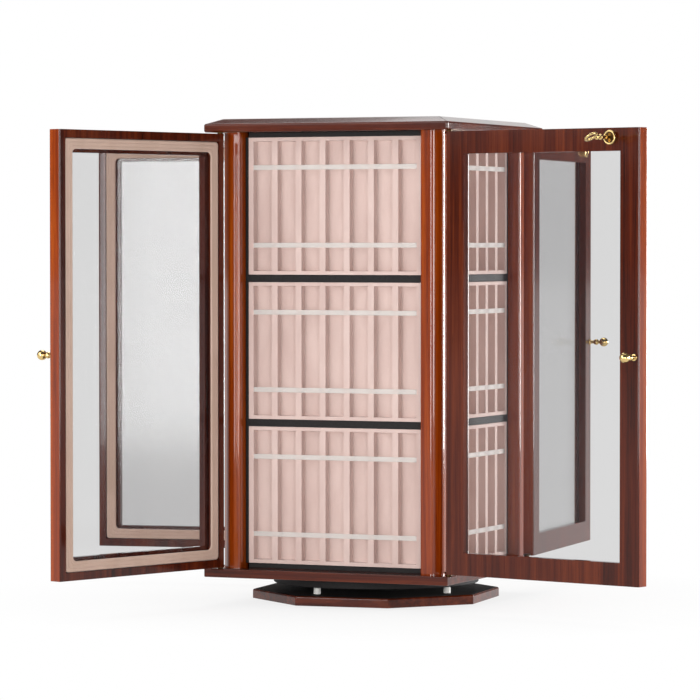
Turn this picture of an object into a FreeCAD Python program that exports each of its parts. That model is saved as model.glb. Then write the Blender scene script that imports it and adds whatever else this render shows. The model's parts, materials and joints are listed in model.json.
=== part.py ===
import FreeCAD, Part
import math
import os

import Sketcher
from FreeCAD import Placement, Rotation, Vector

# Revolving four-sided display tower with glazed doors and channelled trays.
# Millimetres, +Z up, the front face looks along -Y and the origin is on the floor under the spindle.
# Modelled with its four doors open, each swung out from the left edge of its own face.

DRIVING_SIZES = [
    # Octagonal stand
    ("felt_thickness", 2.0),
    ("felt_diameter", 250.0),
    ("base_width", 292.0),
    ("base_thickness", 12.0),
    ("base_chamfer", 1.5),
    ("base_turn", 5.9),
    ("glide_height", 9.0),
    ("glide_diameter", 9.0),
    ("glide_circle", 232.0),
    ("glide_play", 0.2),
    ("spindle_diameter", 14.0),
    ("spindle_flange_diameter", 44.0),
    ("spindle_flange_thickness", 4.0),
    ("spindle_play", 0.08),
    ("spindle_end_gap", 0.5),
    ("disc_diameter", 262.0),
    ("disc_thickness", 12.0),
    # Cabinet shell
    ("slab_width", 330.0),
    ("plate_thickness", 11.0),
    ("clear_height", 547.0),
    ("slab_side", 10.0),
    ("slab_bevel_rise", 7.0),
    ("slab_bevel_run", 18.5),
    ("slab_round", 2.5),
    ("post_setback", 16.0),
    ("post_width", 27.0),
    ("post_chamfer", 10.0),
    ("post_round", 3.0),
    # Core, boards and trays
    ("board_thickness", 6.0),
    ("divider_thickness", 9.0),
    ("core_wall", 6.0),
    ("tray_setback", 32.0),
    ("tray_depth", 14.0),
    ("tray_side_gap", 4.5),
    ("tray_play", 0.3),
    ("strip_play", 0.1),
    ("tray_rim", 4.5),
    ("channel_count", 7.0),
    ("channel_width", 24.8),
    ("channel_pitch", 32.8),
    ("channel_depth", 11.0),
    ("band_height", 6.0),
    ("band_thickness", 0.8),
    ("band_low", 34.2),
    ("band_high", 131.5),
    # Doors
    ("door_width", 287.5),
    ("door_thickness", 17.5),
    ("door_end_gap", 2.0),
    ("door_post_gap", 1.0),
    ("door_edge_round", 2.0),
    ("stile_width", 27.5),
    ("border_width", 10.0),
    ("glass_thickness", 3.0),
    ("liner_width", 13.0),
    ("liner_thickness", 4.7),
    ("liner_corner", 6.0),
    ("liner_outer_corner", 4.0),
    ("pane_play", 0.3),
    ("front_open", 108.0),
    ("right_open", 105.4),
    ("back_open", 85.0),
    ("left_open", 80.0),
    # Knife hinges
    ("hinge_margin", 20.0),
    ("hinge_offset", 1.5),
    ("leaf_thickness", 2.5),
    ("leaf_width", 10.0),
    ("leaf_length", 44.0),
    ("leaf_play", 0.1),
    ("pin_diameter", 4.0),
    ("pin_play", 0.05),
    ("shoulder_diameter", 7.0),
    ("shoulder_gap", 0.2),
    # Knobs
    ("knob_edge", 7.0),
    ("knob_rose", 8.4),
    ("knob_rose_thickness", 1.5),
    ("knob_neck", 4.4),
    ("knob_bead", 8.0),
    ("knob_bead_reach", 9.5),
    ("knob_head", 12.4),
    ("knob_head_reach", 20.0),
    ("knob_screw", 4.0),
    ("knob_screw_length", 9.0),
    ("knob_play", 0.1),
    # Locks and key
    ("lock_edge", 40.5),
    ("lock_drop", 11.5),
    ("case_width", 34.0),
    ("case_height", 21.0),
    ("case_thickness", 7.0),
    ("case_cover", 1.5),
    ("case_play", 0.1),
    ("barrel_diameter", 17.5),
    ("barrel_proud", 4.0),
    ("keyhole_width", 2.4),
    ("keyhole_height", 11.0),
    ("keyhole_depth", 2.5),
    ("bolt_width", 14.0),
    ("bolt_thickness", 3.4),
    ("bolt_height", 17.0),
    ("bolt_back", 0.6),
    ("bolt_sunk", 0.5),
    ("bolt_travel", 7.0),
    ("bolt_play", 0.15),
    ("strike_play", 0.6),
    ("key_shank", 4.2),
    ("key_play", 0.06),
    ("key_depth", 5.0),
    ("key_reach", 37.5),
    ("key_roll", 57.0),
    ("key_collar", 7.0),
    ("key_collar_length", 3.0),
    ("key_first_collar", 17.0),
    ("key_second_collar", 24.0),
    ("key_bow_width", 18.0),
    ("key_bow_thickness", 3.0),
    ("key_bow_ring", 3.6),
]

doc = FreeCAD.newDocument("display_tower")
sheet = doc.addObject("Spreadsheet::Sheet", "Sizes")


class Size:
    """A length that knows its number and the sheet expression that gives it."""

    def __init__(self, number, text):
        self.number = float(number)
        self.text = text

    @staticmethod
    def of(other):
        return other if isinstance(other, Size) else Size(other, repr(float(other)))

    def __add__(self, other):
        other = Size.of(other)
        return Size(self.number + other.number, f"({self.text} + {other.text})")

    def __sub__(self, other):
        other = Size.of(other)
        return Size(self.number - other.number, f"({self.text} - {other.text})")

    def __mul__(self, other):
        other = Size.of(other)
        return Size(self.number * other.number, f"({self.text} * {other.text})")

    def __truediv__(self, other):
        other = Size.of(other)
        return Size(self.number / other.number, f"({self.text} / {other.text})")

    def __rsub__(self, other):
        return Size.of(other) - self

    def __neg__(self):
        return Size.of(0.0) - self

    __radd__ = __add__
    __rmul__ = __mul__


class Sizes:
    """The sheet's sizes by name."""


z = Sizes()
for row, (name, number) in enumerate(DRIVING_SIZES, start=1):
    sheet.set(f"A{row}", name)
    sheet.set(f"B{row}", str(number))
    sheet.setAlias(f"B{row}", name)
    setattr(z, name, Size(number, f"Sizes.{name}"))
doc.recompute()

# Levels up the spindle axis
base_low = z.felt_thickness
base_high = base_low + z.base_thickness
disc_low = base_high + z.glide_height
plate_low = disc_low + z.disc_thickness
plate_high = plate_low + z.plate_thickness
slab_low = plate_high + z.clear_height
slab_shoulder = slab_low + z.slab_side
slab_high = slab_shoulder + z.slab_bevel_rise
door_low = plate_high + z.door_end_gap
door_high = slab_low - z.door_end_gap
door_height = door_high - door_low
bay_low = plate_high + z.board_thickness
bay_high = slab_low - z.board_thickness
bay_height = (bay_high - bay_low - 2.0 * z.divider_thickness) / 3.0

# Plan of one face, measured in from the edge of the slab
half_slab = z.slab_width / 2.0
post_outer = half_slab - z.post_setback
post_inner = post_outer - z.post_width
tray_face = half_slab - z.tray_setback
core_half = tray_face - z.tray_depth
tray_half = post_inner - z.tray_side_gap
channel_span = z.channel_pitch * (z.channel_count - 1.0)
channels_half = (channel_span + z.channel_width) / 2.0
half_door = z.door_thickness / 2.0
pivot_setback = z.post_setback - z.door_post_gap - half_door
pivot_x = z.hinge_margin - half_slab
pivot_y = pivot_setback - half_slab
door_free = z.hinge_offset + z.door_width
lock_x = door_free - z.lock_edge
lock_z = door_high - z.lock_drop
outer_face = -half_door
case_front = outer_face + z.case_cover
case_back = case_front + z.case_thickness
bolt_high = case_back - z.bolt_back
bolt_low = bolt_high - z.bolt_thickness
rabbet_face = half_door - z.glass_thickness - z.liner_thickness - z.pane_play

FACES = [
    ("front", 0, z.front_open.number),
    ("right", 1, z.right_open.number),
    ("back", 2, z.back_open.number),
    ("left", 3, z.left_open.number),
]
LEVELS = ["lower", "middle", "upper"]
UP = Vector(0, 0, 1)
OUTWARD = Vector(0, -1, 0)
ACROSS = Vector(1, 0, 0)
KNOB_BAND_COUNT = {"bead": 6, "head": 9}
SAME_PLACE = 1e-6
finished = []


# Helpers that bind shapes to the sheet

def finish(shape_object, label, placement=None):
    """Give a sub-part its label and place, and list it for export."""
    shape_object.Label = label
    if placement is not None:
        shape_object.Placement = placement
    finished.append(shape_object)
    return shape_object


def bind_place(shape_object, corner):
    """Tie a primitive's position to the sheet."""
    for axis, size in zip("xyz", corner):
        size = Size.of(size)
        shape_object.setExpression(f"Placement.Base.{axis}", size.text)


def box(name, corner, extent):
    """A block from its low corner and its three lengths."""
    block = doc.addObject("Part::Box", name)
    for side, size in zip(("Length", "Width", "Height"), extent):
        block.setExpression(side, Size.of(size).text)
    bind_place(block, corner)
    return block


def cylinder(name, centre, diameter, length, axis=UP):
    """A round bar that starts at centre and runs along axis."""
    bar = doc.addObject("Part::Cylinder", name)
    bar.Placement = Placement(Vector(), Rotation(UP, axis))
    bar.setExpression("Radius", (Size.of(diameter) / 2.0).text)
    bar.setExpression("Height", Size.of(length).text)
    bind_place(bar, centre)
    return bar


def fuse(name, shapes):
    """Several overlapping shapes made into one solid."""
    joined = doc.addObject("Part::MultiFuse", name)
    joined.Shapes = shapes
    joined.Refine = True
    return joined


def cut(name, base, tool):
    """One shape taken out of another."""
    result = doc.addObject("Part::Cut", name)
    result.Base = base
    result.Tool = tool
    return result


def group(name, shapes):
    """Separate solids kept in one node."""
    bundle = doc.addObject("Part::Compound", name)
    bundle.Links = shapes
    return bundle


def polygon_sketch(body, name, plane, outlines, offset=None):
    """Closed outlines on one of the body's origin planes, every corner tied to the sheet."""
    sketch = body.newObject("Sketcher::SketchObject", name)
    origin = [item for item in body.Origin.OriginFeatures if item.Role == plane]
    sketch.AttachmentSupport = (origin[0], [""])
    sketch.MapMode = "FlatFace"
    if offset is not None:
        sketch.setExpression("AttachmentOffset.Base.z", Size.of(offset).text)
    for corners in outlines:
        corners = [(Size.of(x), Size.of(y)) for x, y in corners]
        points = [Vector(x.number, y.number, 0) for x, y in corners]
        first = sketch.GeometryCount
        count = len(points)
        for index, point in enumerate(points):
            sketch.addGeometry(Part.LineSegment(point, points[(index + 1) % count]), False)
        for index in range(count):
            after = first + (index + 1) % count
            sketch.addConstraint(Sketcher.Constraint("Coincident", first + index, 2, after, 1))
        for index, (x, y) in enumerate(corners):
            for kind, size in (("DistanceX", x), ("DistanceY", y)):
                line = first + index
                rule = Sketcher.Constraint(kind, -1, 1, line, 1, size.number)
                number = sketch.addConstraint(rule)
                sketch.setExpression(f"Constraints[{number}]", size.text)
    return sketch


def rectangle(low_x, low_y, high_x, high_y):
    """Corners of a rectangle, anticlockwise."""
    return [(low_x, low_y), (high_x, low_y), (high_x, high_y), (low_x, high_y)]


def new_body(name):
    return doc.addObject("PartDesign::Body", name)


def pad(body, name, sketch, length, midplane=False):
    """Thicken a sketch along its normal, or to both sides of it."""
    feature = body.newObject("PartDesign::Pad", name)
    feature.Profile = sketch
    feature.SideType = "Symmetric" if midplane else "One side"
    feature.setExpression("Length", Size.of(length).text)
    return feature


def pocket(body, name, sketch, depth, reverse=False):
    """Cut a sketch into the body, and fail if nothing was cut."""
    doc.recompute()
    before = body.Shape.Volume
    feature = body.newObject("PartDesign::Pocket", name)
    feature.Profile = sketch
    feature.Reversed = reverse
    feature.setExpression("Length", Size.of(depth).text)
    doc.recompute()
    if body.Shape.Volume >= before:
        raise ValueError(f"{body.Name}: pocket {name} cuts nothing")
    return feature


def dress(body, name, kind, base, chosen, prop, size):
    """Fillet or chamfer the edges that the chooser picks."""
    doc.recompute()
    edges = [f"Edge{n}" for n, edge in enumerate(base.Shape.Edges, start=1) if chosen(edge)]
    feature = body.newObject(kind, name)
    feature.Base = (base, edges)
    feature.setExpression(prop, Size.of(size).text)
    return feature


def runs_along(edge, axis):
    """True for a straight edge parallel to axis."""
    if not isinstance(edge.Curve, Part.Line):
        return False
    return abs(abs(edge.Curve.Direction.dot(axis)) - 1.0) < SAME_PLACE


def face_turn(quarter):
    """Turn about the spindle that carries the front face to another face."""
    return Placement(Vector(), Rotation(UP, 90.0 * quarter))


def door_place(quarter, opened):
    """Place of an open door, modelled with its hinge axis at the origin and its inner side at +Y."""
    pivot = face_turn(quarter).multVec(Vector(pivot_x.number, pivot_y.number, 0))
    return Placement(pivot, Rotation(UP, 90.0 * quarter - opened))


# Octagonal stand, its felt, the glide buttons and the spindle

def make_stand():
    stand_turn = Placement(Vector(), Rotation(UP, z.base_turn.number))
    half = z.base_width / 2.0
    corner = half * math.tan(math.pi / 8.0)
    octagon = [
        (corner, -half), (half, -corner), (half, corner), (corner, half),
        (-corner, half), (-half, corner), (-half, -corner), (-corner, -half),
    ]
    body = new_body("base_board_body")
    outline = polygon_sketch(body, "base_outline", "XY_Plane", [octagon], base_low)
    board = pad(body, "base_pad", outline, z.base_thickness)
    top = base_high.number

    def rim(edge):
        return all(abs(vertex.Z - top) < SAME_PLACE for vertex in edge.Vertexes)

    dress(body, "base_edge", "PartDesign::Chamfer", board, rim, "Size", z.base_chamfer)
    finish(body, "base_board", stand_turn)

    finish(cylinder("felt", (0.0, 0.0, 0.0), z.felt_diameter, z.felt_thickness), "base_felt")

    reach = z.glide_circle / 2.0
    low = reach * math.sin(math.pi / 8.0)
    high = reach * math.cos(math.pi / 8.0)
    glides = []
    for number, (x, y) in enumerate(((-low, -high), (high, -low), (low, high), (-high, low))):
        height = z.glide_height - z.glide_play
        glides.append(cylinder(f"glide_{number}", (x, y, base_high), z.glide_diameter, height))
    finish(group("glide_group", glides), "glide_buttons", stand_turn)

    flange = cylinder("spindle_flange", (0.0, 0.0, base_high), z.spindle_flange_diameter,
                      z.spindle_flange_thickness)
    stem_length = plate_low - base_high - z.spindle_end_gap
    stem = cylinder("spindle_stem", (0.0, 0.0, base_high), z.spindle_diameter, stem_length)
    finish(fuse("spindle_solid", [flange, stem]), "spindle")


# Turning disc, bottom plate, posts and bevelled top slab

def make_shell():
    disc = cylinder("disc_blank", (0.0, 0.0, disc_low), z.disc_diameter, z.disc_thickness)
    bore = cylinder("disc_bore", (0.0, 0.0, disc_low), z.spindle_diameter + 2.0 * z.spindle_play,
                    z.disc_thickness)
    finish(cut("disc_solid", disc, bore), "turning_disc")

    square = rectangle(-half_slab, -half_slab, half_slab, half_slab)
    plate = new_body("plate_body")
    outline = polygon_sketch(plate, "plate_outline", "XY_Plane", [square], plate_low)
    pad(plate, "plate_pad", outline, z.plate_thickness)
    mortises = fuse("plate_mortises", leaf_mortises("plate", plate_high - z.leaf_thickness))
    finish(cut("plate_solid", plate, mortises), "bottom_plate")

    slab = new_body("slab_body")
    outline = polygon_sketch(slab, "slab_outline", "XY_Plane", [square], slab_low)
    pad(slab, "slab_pad", outline, z.slab_side)
    crown = half_slab - z.slab_bevel_run
    foot = polygon_sketch(slab, "bevel_foot", "XY_Plane", [square], slab_shoulder)
    top = polygon_sketch(slab, "bevel_top", "XY_Plane",
                         [rectangle(-crown, -crown, crown, crown)], slab_high)
    bevel = slab.newObject("PartDesign::AdditiveLoft", "slab_bevel")
    bevel.Profile = foot
    bevel.Sections = [top]
    bevel.Ruled = True
    dress(slab, "slab_edge", "PartDesign::Fillet", bevel, lambda edge: True, "Radius", z.slab_round)
    mortises = fuse("slab_mortises", leaf_mortises("slab", slab_low) + strike_mortises())
    finish(cut("slab_solid", slab, mortises), "top_slab")

    outer = -post_outer
    inner = -post_inner
    near = outer + z.post_chamfer
    section = [(near, outer), (inner, outer), (inner, inner), (outer, inner), (outer, near)]
    for name, quarter in (("front_left", 0), ("front_right", 1), ("back_right", 2), ("back_left", 3)):
        post = new_body(f"post_{name}_body")
        outline = polygon_sketch(post, f"post_{name}_section", "XY_Plane", [section], plate_high)
        blank = pad(post, f"post_{name}_pad", outline, z.clear_height)
        dress(post, f"post_{name}_edge", "PartDesign::Fillet", blank, shows_on_post, "Radius",
              z.post_round)
        finish(post, f"post_{name}", face_turn(quarter))


def shows_on_post(edge):
    """True for an upright edge of a post other than the one against the core."""
    spot = edge.Vertexes[0].Point
    return runs_along(edge, UP) and spot.x + spot.y < -2.0 * post_inner.number - SAME_PLACE


def turned(shape_object, quarter):
    """A copy of a tool carried round to another face."""
    carrier = group(f"{shape_object.Name}_turned", [shape_object])
    carrier.Placement = face_turn(quarter)
    return carrier


def leaf_mortises(name, low):
    """Shallow beds for the fixed hinge leaves of the four faces."""
    tools = []
    for face, quarter, opened in FACES:
        corner = (pivot_x - z.leaf_width / 2.0 - z.leaf_play,
                  pivot_y - z.leaf_width / 2.0 - z.leaf_play, low)
        extent = (z.leaf_length + 2.0 * z.leaf_play, z.leaf_width + 2.0 * z.leaf_play,
                  z.leaf_thickness)
        tools.append(turned(box(f"{name}_{face}_bed", corner, extent), quarter))
    return tools


def strike_mortises():
    """Slots in the slab that take the raised lock bolts."""
    tools = []
    for face, quarter, opened in FACES:
        corner = (pivot_x + lock_x - z.bolt_width / 2.0 - z.strike_play,
                  pivot_y + bolt_low - z.strike_play, slab_low)
        extent = (z.bolt_width + 2.0 * z.strike_play, z.bolt_thickness + 2.0 * z.strike_play,
                  z.bolt_travel)
        tools.append(turned(box(f"{face}_strike", corner, extent), quarter))
    return tools


# Hollow core, black boards and dividers, padded trays and their elastic bands

def make_inside():
    half = core_half
    hollow = core_half - z.core_wall
    core = new_body("core_body")
    outline = polygon_sketch(core, "core_section", "XY_Plane", [
        rectangle(-half, -half, half, half),
        rectangle(-hollow, -hollow, hollow, hollow),
    ], bay_low)
    pad(core, "core_pad", outline, bay_high - bay_low)
    finish(core, "core_box")

    cross = [
        (-tray_half, -tray_face), (tray_half, -tray_face), (tray_half, -tray_half),
        (tray_face, -tray_half), (tray_face, tray_half), (tray_half, tray_half),
        (tray_half, tray_face), (-tray_half, tray_face), (-tray_half, tray_half),
        (-tray_face, tray_half), (-tray_face, -tray_half), (-tray_half, -tray_half),
    ]
    for label, low in (("floor_board", plate_high), ("ceiling_board", bay_high)):
        board = new_body(f"{label}_body")
        outline = polygon_sketch(board, f"{label}_outline", "XY_Plane", [cross], low)
        pad(board, f"{label}_pad", outline, z.board_thickness)
        finish(board, label)

    for number, label in enumerate(("lower_dividers", "upper_dividers")):
        low = bay_low + bay_height * (number + 1.0) + z.divider_thickness * float(number)
        strips = []
        for face, quarter, opened in FACES:
            strip = box(f"{label}_{face}", (-tray_half, -tray_face, low),
                        (tray_half * 2.0, z.tray_depth, z.divider_thickness))
            strips.append(turned(strip, quarter))
        finish(group(f"{label}_group", strips), label)

    strips = []
    for face, quarter, opened in FACES:
        for side, start in (("left", -post_inner), ("right", tray_half)):
            strip = box(f"strip_{face}_{side}", (start + z.strip_play, -tray_face, bay_low),
                        (z.tray_side_gap - 2.0 * z.strip_play, z.tray_depth, bay_high - bay_low))
            strips.append(turned(strip, quarter))
    finish(group("strip_group", strips), "side_strips")

    bands = []
    for face, quarter, opened in FACES:
        for level, name in enumerate(LEVELS):
            low = bay_low + (bay_height + z.divider_thickness) * float(level)
            finish(make_tray(f"{face}_{name}", low), f"tray_{face}_{name}", face_turn(quarter))
            for rank, lift in (("low", z.band_low), ("high", z.band_high)):
                band = box(f"band_{face}_{name}_{rank}",
                           (-channels_half, -tray_face, low + lift),
                           (channels_half * 2.0, z.band_thickness, z.band_height))
                bands.append(turned(band, quarter))
    finish(group("band_group", bands), "elastic_bands")


def make_tray(name, low):
    """A padded tray with a rim and a row of upright channels, its ridges set back by a band's thickness."""
    tray = new_body(f"tray_{name}_body")
    foot = low + z.tray_play
    height = bay_height - 2.0 * z.tray_play
    front = -tray_face
    outline = polygon_sketch(tray, f"tray_{name}_section", "XY_Plane",
                             [rectangle(-tray_half, front, tray_half, front + z.tray_depth)], foot)
    pad(tray, f"tray_{name}_pad", outline, height)
    recess = polygon_sketch(tray, f"tray_{name}_recess", "XY_Plane", [
        rectangle(-channels_half, front, channels_half, front + z.band_thickness),
    ], foot + z.tray_rim)
    pocket(tray, f"tray_{name}_setback", recess, height - 2.0 * z.tray_rim, reverse=True)
    slot = polygon_sketch(tray, f"tray_{name}_slot", "XY_Plane", [
        rectangle(-channels_half, front, z.channel_width - channels_half, front + z.channel_depth),
    ], foot + z.tray_rim)
    channel = pocket(tray, f"tray_{name}_channel", slot, height - 2.0 * z.tray_rim, reverse=True)
    row = tray.newObject("PartDesign::LinearPattern", f"tray_{name}_row")
    row.Originals = [channel]
    row.Direction = (slot, ["H_Axis"])
    row.setExpression("Length", channel_span.text)
    row.setExpression("Occurrences", z.channel_count.text)
    tray.Tip = row
    return tray


# Doors: wood frame, pane, velour liner, knob, lock, bolt and hinge leaves

def make_door(face, quarter, opened):
    place = door_place(quarter, opened)
    near = z.hinge_offset
    frame = new_body(f"{face}_frame_body")
    window = rectangle(near + z.stile_width, door_low + z.stile_width,
                       door_free - z.stile_width, door_high - z.stile_width)
    outline = polygon_sketch(frame, f"{face}_frame_outline", "XZ_Plane", [
        rectangle(near, door_low, door_free, door_high), window,
    ])
    blank = pad(frame, f"{face}_frame_pad", outline, z.door_thickness, midplane=True)
    height = door_height.number

    def upright(edge):
        return runs_along(edge, UP) and abs(edge.Length - height) < SAME_PLACE

    dress(frame, f"{face}_frame_round", "PartDesign::Fillet", blank, upright, "Radius",
          z.door_edge_round)
    rabbet = polygon_sketch(frame, f"{face}_rabbet_outline", "XZ_Plane", [
        rectangle(near + z.border_width, door_low + z.border_width,
                  door_free - z.border_width, door_high - z.border_width),
    ], -rabbet_face)
    pocket(frame, f"{face}_rabbet", rabbet, half_door - rabbet_face)
    finish(cut(f"{face}_frame_solid", frame, fuse(f"{face}_mortises", door_mortises(face))),
           f"{face}_door_frame", place)

    edge = z.border_width + z.pane_play
    pane = box(f"{face}_pane", (near + edge, rabbet_face, door_low + edge),
               (z.door_width - 2.0 * edge, z.glass_thickness, door_height - 2.0 * edge))
    finish(group(f"{face}_pane_seat", [pane]), f"{face}_door_glass", place)

    liner = new_body(f"{face}_liner_body")
    inset = edge + z.liner_width
    outline = polygon_sketch(liner, f"{face}_liner_outline", "XZ_Plane", [
        rectangle(near + edge, door_low + edge, door_free - edge, door_high - edge),
        rectangle(near + inset, door_low + inset, door_free - inset, door_high - inset),
    ], -(rabbet_face + z.glass_thickness + z.liner_thickness))
    sheet_pad = pad(liner, f"{face}_liner_pad", outline, z.liner_thickness)
    mouth = (near + inset).number
    far_mouth = (door_free - inset).number

    def mouth_corner(line):
        spot = line.Vertexes[0].X
        inside = mouth - SAME_PLACE < spot < far_mouth + SAME_PLACE
        return runs_along(line, OUTWARD) and inside

    def outer_corner(line):
        spot = line.Vertexes[0].X
        outside = spot < mouth - SAME_PLACE or spot > far_mouth + SAME_PLACE
        return runs_along(line, OUTWARD) and outside

    mouth_round = dress(liner, f"{face}_liner_round", "PartDesign::Fillet", sheet_pad, mouth_corner,
                        "Radius", z.liner_corner)
    dress(liner, f"{face}_liner_outer_round", "PartDesign::Fillet", mouth_round, outer_corner,
          "Radius", z.liner_outer_corner)
    finish(liner, f"{face}_door_liner", place)

    knob, seat = make_knob(face)
    finish(knob, f"{face}_door_knob", place.multiply(seat))
    finish(make_lock(face), f"{face}_door_lock", place)
    bolt = box(f"{face}_bolt", (lock_x - z.bolt_width / 2.0, bolt_low,
                                door_high - z.bolt_sunk - z.bolt_height),
               (z.bolt_width, z.bolt_thickness, z.bolt_height))
    finish(group(f"{face}_bolt_seat", [bolt]), f"{face}_lock_bolt", place)
    leaves = [make_door_leaf(f"{face}_low", door_low),
              make_door_leaf(f"{face}_high", door_high - z.leaf_thickness)]
    finish(group(f"{face}_leaf_group", leaves), f"{face}_hinge_leaves", place)


def door_mortises(face):
    """Everything that is let into the wood of one door frame."""
    near = z.hinge_offset
    reach = z.leaf_length - near - z.leaf_width / 2.0 + z.leaf_play
    bed = (reach, z.leaf_width + 2.0 * z.leaf_play, z.leaf_thickness)
    side = -z.leaf_width / 2.0 - z.leaf_play
    case = box(f"{face}_case_bed",
               (lock_x - z.case_width / 2.0 - z.case_play, case_front - z.case_play,
                door_high - z.case_height - z.case_play),
               (z.case_width + 2.0 * z.case_play, z.case_thickness + 2.0 * z.case_play,
                z.case_height + z.case_play))
    barrel = cylinder(f"{face}_barrel_bed", (lock_x, case_front, lock_z),
                      z.barrel_diameter + 2.0 * z.case_play, z.case_cover, OUTWARD)
    screw = cylinder(f"{face}_screw_bed",
                     (door_free - z.knob_edge, outer_face + z.knob_screw_length + z.knob_play,
                      door_low + door_height / 2.0),
                     z.knob_screw + 2.0 * z.knob_play, z.knob_screw_length + z.knob_play, OUTWARD)
    return [
        box(f"{face}_low_bed", (near, side, door_low), bed),
        box(f"{face}_high_bed", (near, side, door_high - z.leaf_thickness), bed),
        case, barrel, screw,
    ]


def make_knob(face):
    """Knob turned in one piece: screw, rose, neck, a small bead and a round head."""
    knob = new_body(f"{face}_knob_body")
    neck = z.knob_neck / 2.0
    screw = z.knob_screw / 2.0
    rose = z.knob_rose / 2.0
    profile = [
        (0.0, -z.knob_screw_length), (screw, -z.knob_screw_length), (screw, 0.0),
        (rose, 0.0), (rose, z.knob_rose_thickness), (neck, z.knob_rose_thickness),
    ]
    for part, diameter, reach in (("bead", z.knob_bead, z.knob_bead_reach),
                                  ("head", z.knob_head, z.knob_head_reach)):
        ball = diameter / 2.0
        start = -math.acos(neck.number / ball.number)
        end = -start if part == "bead" else math.pi / 2.0
        for band in range(KNOB_BAND_COUNT[part] + 1):
            angle = start + (end - start) * band / KNOB_BAND_COUNT[part]
            on_axis = band == KNOB_BAND_COUNT[part] and part == "head"
            radius = 0.0 if on_axis else ball * math.cos(angle)
            profile.append((radius, reach + ball * math.sin(angle)))
    outline = polygon_sketch(knob, f"{face}_knob_profile", "XZ_Plane", [profile])
    turn = knob.newObject("PartDesign::Revolution", f"{face}_knob_turning")
    turn.Profile = outline
    turn.ReferenceAxis = (outline, ["V_Axis"])
    turn.Angle = 360.0
    spot = Vector((door_free - z.knob_edge).number, outer_face.number,
                  (door_low + door_height / 2.0).number)
    return knob, Placement(spot, Rotation(UP, OUTWARD))


def make_lock(face):
    """Let-in lock: a case with a bolt way and a round barrel for the key."""
    case = box(f"{face}_case", (lock_x - z.case_width / 2.0, case_front, door_high - z.case_height),
               (z.case_width, z.case_thickness, z.case_height))
    barrel = cylinder(f"{face}_barrel", (lock_x, case_front, lock_z), z.barrel_diameter,
                      z.case_cover + z.barrel_proud, OUTWARD)
    way = box(f"{face}_bolt_way",
              (lock_x - z.bolt_width / 2.0 - z.bolt_play, bolt_low - z.bolt_play,
               door_high - z.bolt_sunk - z.bolt_height - z.bolt_play),
              (z.bolt_width + 2.0 * z.bolt_play, z.bolt_thickness + 2.0 * z.bolt_play,
               z.bolt_height + z.bolt_sunk + z.bolt_play))
    keyway = cylinder(f"{face}_keyway", (lock_x, outer_face - z.barrel_proud + z.key_depth, lock_z),
                      z.key_shank + 2.0 * z.key_play, z.key_depth, OUTWARD)
    keyhole = box(f"{face}_keyhole",
                  (lock_x - z.keyhole_width / 2.0, outer_face - z.barrel_proud,
                   lock_z - z.keyhole_height / 2.0),
                  (z.keyhole_width, z.keyhole_depth, z.keyhole_height))
    body = fuse(f"{face}_lock_blank", [case, barrel])
    return cut(f"{face}_lock_solid", body, fuse(f"{face}_lock_ways", [way, keyway, keyhole]))


def make_door_leaf(name, low):
    """Hinge leaf let into a door end, with an eye past the door's edge."""
    half = z.leaf_width / 2.0
    tongue = box(f"{name}_leaf", (0.0, -half, low), (z.leaf_length - half, z.leaf_width, z.leaf_thickness))
    eye = cylinder(f"{name}_eye", (0.0, 0.0, low), z.leaf_width, z.leaf_thickness)
    hole = cylinder(f"{name}_eye_hole", (0.0, 0.0, low), z.pin_diameter + 2.0 * z.pin_play,
                    z.leaf_thickness)
    return cut(f"{name}_leaf_solid", fuse(f"{name}_leaf_blank", [tongue, eye]), hole)


def make_fixed_leaves():
    """Leaves in the slab and the bottom plate, each with its shoulder and pin."""
    leaves = []
    half = z.leaf_width / 2.0
    pin_length = z.door_end_gap + z.leaf_thickness
    shoulder = z.door_end_gap - z.shoulder_gap
    for face, quarter, opened in FACES:
        for rank, low, root, way in (
            ("low", plate_high - z.leaf_thickness, plate_high, UP),
            ("high", slab_low, slab_low, -UP),
        ):
            name = f"{face}_{rank}_fixed"
            tongue = box(f"{name}_leaf", (pivot_x - half, pivot_y - half, low),
                         (z.leaf_length, z.leaf_width, z.leaf_thickness))
            step = cylinder(f"{name}_shoulder", (pivot_x, pivot_y, root), z.shoulder_diameter,
                            shoulder, way)
            pin = cylinder(f"{name}_pin", (pivot_x, pivot_y, root), z.pin_diameter, pin_length, way)
            leaves.append(turned(fuse(f"{name}_solid", [tongue, step, pin]), quarter))
    finish(group("fixed_leaf_group", leaves), "hinge_fixed_leaves")


def make_key(quarter, opened):
    """Key standing in one lock: shank, two collars and a ring bow, rolled as it was left."""
    barrel_face = outer_face - z.barrel_proud
    bow_centre = barrel_face - z.key_reach
    shank_tip = barrel_face + z.key_depth - z.key_play
    shank_end = bow_centre + z.key_bow_width / 2.0 - z.key_bow_ring / 2.0
    shank = cylinder("key_shank_bar", (lock_x, shank_tip, lock_z), z.key_shank,
                     shank_tip - shank_end, OUTWARD)
    collars = [
        cylinder(f"key_{rank}_ring", (lock_x, barrel_face - start, lock_z), z.key_collar,
                 z.key_collar_length, OUTWARD)
        for rank, start in (("first", z.key_first_collar), ("second", z.key_second_collar))
    ]
    ring_centre = (lock_x - z.key_bow_thickness / 2.0, bow_centre, lock_z)
    plate = cylinder("key_bow_disc", ring_centre, z.key_bow_width, z.key_bow_thickness, ACROSS)
    hole = cylinder("key_bow_hole", ring_centre, z.key_bow_width - 2.0 * z.key_bow_ring,
                    z.key_bow_thickness, ACROSS)
    bow = cut("key_bow", plate, hole)
    shank_line = Vector(lock_x.number, 0, lock_z.number)
    roll = Placement(Vector(), Rotation(-OUTWARD, z.key_roll.number), shank_line)
    place = door_place(quarter, opened).multiply(roll)
    finish(fuse("key_solid", [shank, *collars, bow]), "key", place)


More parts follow.
